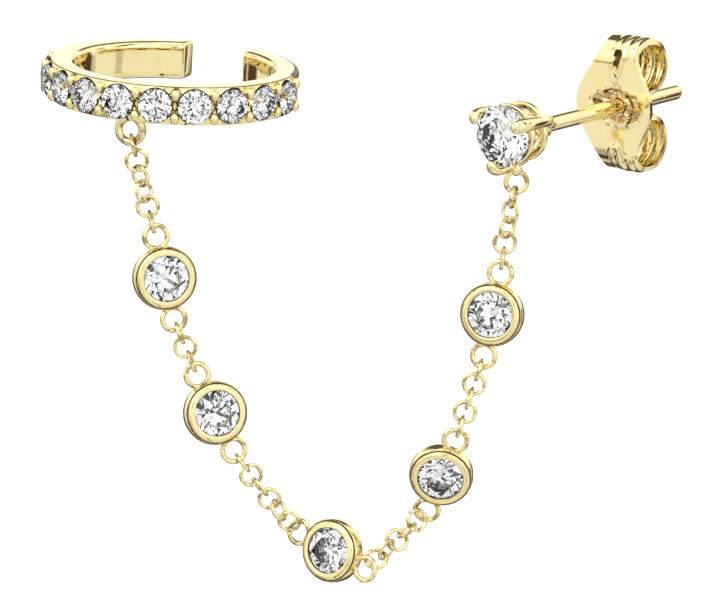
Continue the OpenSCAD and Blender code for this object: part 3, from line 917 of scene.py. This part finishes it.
spin_on_axis(stud, ring_corners(1.50, 0.34, 0.36, 0.36))
spin_on_axis(stud, ring_corners(1.44, 0.34, 1.45, 0.34))
spin_on_axis(stud, rod_corners(HUB_R, HUB_FROM, HUB_TO, 0.15, 0.12))
spin_on_axis(stud, rod_corners(POST_R, HUB_TO - 0.1, POST_TIP, 0, 0.36), steps=40)
hang = Matrix.Translation((0.1, GIRDLE_Y + 1.0, -2.36))
add_ring(stud, HANG_D, HANG_WIRE, hang @ turn(-STUD_TURN, "Z") @ turn(90, "X"), finish=WIRE)
solder = hang @ Matrix.Translation((0, 0, 0.62)) @ Matrix.Diagonal((0.27, 0.3, 0.34, 1))
bmesh.ops.create_uvsphere(stud, u_segments=18, v_segments=12, radius=1, matrix=solder)
bmesh.ops.transform(stud, matrix=STUD_PLACE, verts=stud.verts)
finish_piece(stud, "gold_stud", "earring", ["stud_setting"], FINISHES)

# %% [markdown]
# ## Butterfly nut
# The nut is one strip of thin sheet. Its middle is a broad plate with a pierced and
# torn hole, and both ends are narrow, pressed with ribs, and rolled into scrolls that
# spring against the post. A slit parts the strip where the roll begins: to its left the
# sheet bends in one wide arc, and to its right it goes straight on and bends tightly.

# %% Roll the nut's sheet
NUT_FRONT, SHEET = 3.0, 0.25
LEFT_ROLL = 2.0, [(1.3, 300)]  # straight up to, then radius and degrees
RIGHT_ROLL = 2.4, [(0.80, 70), (2.0, 35), (1.4, 200)]
STRIP_HALF, PLATE_HALF, PLATE_TO = 1.05, 2.2, 2.9


def half_width(s):
    """Half the strip's width at a length from the post."""
    narrowing = math.cos(math.pi / 2 * min(abs(s) / PLATE_TO, 1)) ** 1.8
    return STRIP_HALF + (PLATE_HALF - STRIP_HALF) * narrowing


def rolled(s, roll):
    """Side view of the sheet at a length from the post: its place and outward direction."""
    flat_to, arcs = roll
    side, left, heading = math.copysign(1, s), abs(s) - flat_to, 0.0
    if left <= 0:
        return Vector((0, 0, s)), Vector((0, -1, 0))
    at = Vector((0, 0, flat_to))
    for radius, degrees in arcs:
        turned = min(left / radius, math.radians(degrees))
        inward = Vector((0, math.cos(heading), -math.sin(heading)))
        heading, left = heading + turned, left - radius * turned
        out = Vector((0, -math.cos(heading), math.sin(heading)))
        at = at + radius * (inward + out)
    flip = Vector((1, 1, side))
    return at * flip, out * flip


def on_sheet(x, s):
    """The same where the left part's wide roll goes over into the right part's tight one."""
    right = 1 / (1 + math.exp(-(x + 0.1) / 0.1))
    (place_1, out_1), (place_2, out_2) = rolled(s, LEFT_ROLL), rolled(s, RIGHT_ROLL)
    return place_1.lerp(place_2, right), out_1.lerp(out_2, right).normalized()


flat_to, arcs = LEFT_ROLL
strip_end = flat_to + sum(radius * math.radians(degrees) for radius, degrees in arcs)
print("strip reaches", round(strip_end, 2), "mm from the post, and rolls up to", flat_to + arcs[0][0])

# %% [markdown]
# The sheet isn't plain. Its hole was punched through, which left a torn and wrinkled
# collar with creases, and above it there is a slit with a fold beside it. The rolled parts
# have pressed ribs on the right, and a tongue is pushed out below. All of it is low
# relief, so it is one sum of heights over the flat sheet.

# %% Press and tear the sheet
SLIT = Vector((-0.15, 1.65)), Vector((0.04, 2.75))
CREASES = [
    # across and up at both ends, half width
    ((-1.45, 0.16), (-1.0, 0.06), 0.12), ((0.45, 0.60), (0.80, 0.16), 0.06),
    ((0.78, 0.05), (0.55, -0.85), 0.06), ((-0.9, 0.55), (-0.4, 0.82), 0.04),
    ((1.0, 0.5), (1.35, 0.1), 0.04),
]
COLLAR_WIDE, COLLAR_HIGH = 1.55, 0.92
RIB_HEIGHT, RIB_STEP, RIBS_FROM = 0.05, 0.52, 2.3
SLIT_DEPTH, CREASE_DEPTH = 0.17, 0.10


def ridge(distance, width):
    """1 on a line or point, and less with the distance from it."""
    return math.exp(-(distance / width) ** 2)


def from_line(x, s, start, end):
    """Distance from a line on the sheet, and how far along it."""
    a, way, p = Vector(start), Vector(end) - Vector(start), Vector((x, s))
    share = min(max((p - a).dot(way) / way.length_squared, 0), 1)
    return (p - a - share * way).length, share


def in_slit(x, s):
    away, share = from_line(x, s, *SLIT)
    return 0.1 < share < 1 and away < 0.02 + 0.26 * share


def in_crease(x, s):
    return any(from_line(x, s, start, end)[0] < half for start, end, half in CREASES)


def collar_place(x, s):
    """How far out in the torn collar, 1 at its edge."""
    uneven = 0.12 * noise.noise((2.0 * x, 2.5 * s, 7.0))
    return math.hypot(x / COLLAR_WIDE, s / COLLAR_HIGH) + uneven


def pressed(x, s):
    """How far the sheet is pushed towards the ear, in mm, s being the length from the post."""
    rolling = min(max((abs(s) - RIBS_FROM) / 0.7, 0), 1)
    on_the_right = 1 / (1 + math.exp(-(x + 0.35) / 0.12))
    ribs = RIB_HEIGHT * rolling * math.cos(2 * math.pi * (x - 0.2) / RIB_STEP) * on_the_right
    far = collar_place(x, s)
    wrinkles = noise.noise((3.2 * x, 4.5 * s, 0.4)) + 0.6 * noise.noise((8 * x, 11 * s, 2.3))
    torn_edge = 0.05 * ridge(far - 0.92, 0.12) * (1 + wrinkles)
    hollow = (-0.12 + 0.10 * wrinkles * min(3 * far, 1)) * min(max((1.0 - far) / 0.25, 0), 1)
    cuts = -SLIT_DEPTH * in_slit(x, s) - CREASE_DEPTH * in_crease(x, s)
    fold = 0.09 * ridge(from_line(x, s, (0.0, 1.55), (0.42, 2.5))[0], 0.1)
    tongue = 0.07 * ridge(math.hypot((x + 0.1) / 0.32, (s + 2.45) / 0.5) - 0.9, 0.22)
    return ribs + torn_edge + hollow + cuts + fold + tongue - 0.05 * (x / PLATE_HALF) ** 2


print("pressed at the plate's side, mm:", round(pressed(PLATE_HALF, 0), 3))

# %% [markdown]
# The strip is laid out flat, its width counted as a share from -1 to 1: a patch with
# rings of points round the hole, and rows of narrow faces above and below it.

# %% Lay out the strip
HOLE_R, PATCH_HALF, NUT_SIDE, ROWS = 0.43, 1.3, 36, 64
RINGS = [(1.76, 1.14), (1.66, 1.06), (1.54, 0.98), (1.40, 0.90), (1.24, 0.82), (1.08, 0.74),
         (0.92, 0.67), (0.76, 0.60), (0.62, 0.54), (0.52, 0.48), (HOLE_R, HOLE_R)]

nut = bmesh.new()
loops = []
for wide, high in [(0, 0), *RINGS]:
    made = bmesh.ops.create_circle(nut, segments=4 * NUT_SIDE, radius=1)["verts"]
    for v in made:
        if wide:
            v.co = Vector((v.co.x * wide / PLATE_HALF, v.co.y * high, 0))
        else:
            x, y = square_place(v.co.x, v.co.y)
            v.co = Vector((x, y * PATCH_HALF, 0))
    loops.append(edges_between(made))
for outer, inner in zip(loops, loops[1:]):
    bmesh.ops.bridge_loops(nut, edges=outer + inner)
for side in (-1, 1):
    edges = [e for e in loops[0]
             if all(abs(v.co.y - side * PATCH_HALF) < 1e-5 for v in e.verts)]
    step = Vector((0, side * (strip_end - PATCH_HALF) / ROWS, 0))
    bmesh.ops.spin(nut, geom=verts_of(edges) + edges, cent=(0, 0, 0), axis=(0, 0, 1),
                   dvec=step, angle=0, steps=ROWS)
bmesh.ops.remove_doubles(nut, verts=nut.verts, dist=0.0005)
print("flat strip:", len(nut.faces), "faces")

# %% [markdown]
# Each point is then carried to its place on the rolled strip. The torn collar gets the rough gold
# with painted shade, and the slit and the creases the dull dark gold of painted shade. Only then does
# the sheet get its thickness and a softened rim. The plate isn't quite centred on its hole.

# %% Shape, thicken and soften the sheet
NUT_FINISHES = (polished, torn_shaded, shade_gold)
TORN_SHADED, SHADED_CUT = 1, 2  # their places in NUT_FINISHES
PLATE_SHIFT = -0.26
RIM_ANGLE, RIM_EDGE = math.radians(75), 0.06


def nut_finish(x, s):
    # slit and creases: painted shade
    if in_slit(x, s) or in_crease(x, s):
        return SHADED_CUT
    return TORN_SHADED if collar_place(x, s) < 0.96 else 0


flat_places = {}
for v in nut.verts:
    share, s = v.co.x, v.co.y
    in_patch = math.hypot(share * PLATE_HALF / 1.8, s / 1.16) < 1
    x = share * (PLATE_HALF if in_patch else half_width(s))
    place, out = on_sheet(x, s)
    shift = PLATE_SHIFT * math.exp(-(s / 2.4) ** 4) * min(abs(share) * 1.2, 1)
    across = x if in_patch else x + shift
    v.co = place + Vector((across, 0, 0)) + out * pressed(x, s)
    flat_places[v] = Vector((x, s))
for face in nut.faces:
    x, s = sum((flat_places[v] for v in face.verts), Vector((0, 0))) / len(face.verts)
    face.material_index = nut_finish(x, s)
bmesh.ops.recalc_face_normals(nut, faces=nut.faces)
plate = next(f for f in nut.faces
             if abs(f.calc_center_median().y) < 0.1 and f.calc_center_median().x > 1.6)
if plate.normal.y > 0:
    bmesh.ops.reverse_faces(nut, faces=nut.faces)
bmesh.ops.solidify(nut, geom=nut.faces[:], thickness=SHEET)
rims = [e for e in nut.edges
        if len(e.link_faces) == 2 and e.calc_face_angle() > RIM_ANGLE]
bmesh.ops.bevel(nut, geom=rims, offset=RIM_EDGE, offset_type="OFFSET", segments=2,
                profile=0.5, affect="EDGES", material=-1, clamp_overlap=True)
nut_place = STUD_PLACE @ Matrix.Translation((0, NUT_FRONT, 0))
bmesh.ops.transform(nut, matrix=nut_place, verts=nut.verts)
finish_piece(nut, "gold_nut", "nut", ["ear_nut"], NUT_FINISHES)

# %% [markdown]
# ## Sizes
# The box of the dressed jewel is measured and its size printed, to set beside that of the solids.

# %% Measure the dressed jewel
dressed_low, dressed_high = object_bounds()
[[round(x, 6) for x in corner] for corner in (solids_low, solids_high, dressed_low, dressed_high)]
print("dressed, mm:", [round(1000 * side, 2) for side in dressed_high - dressed_low])
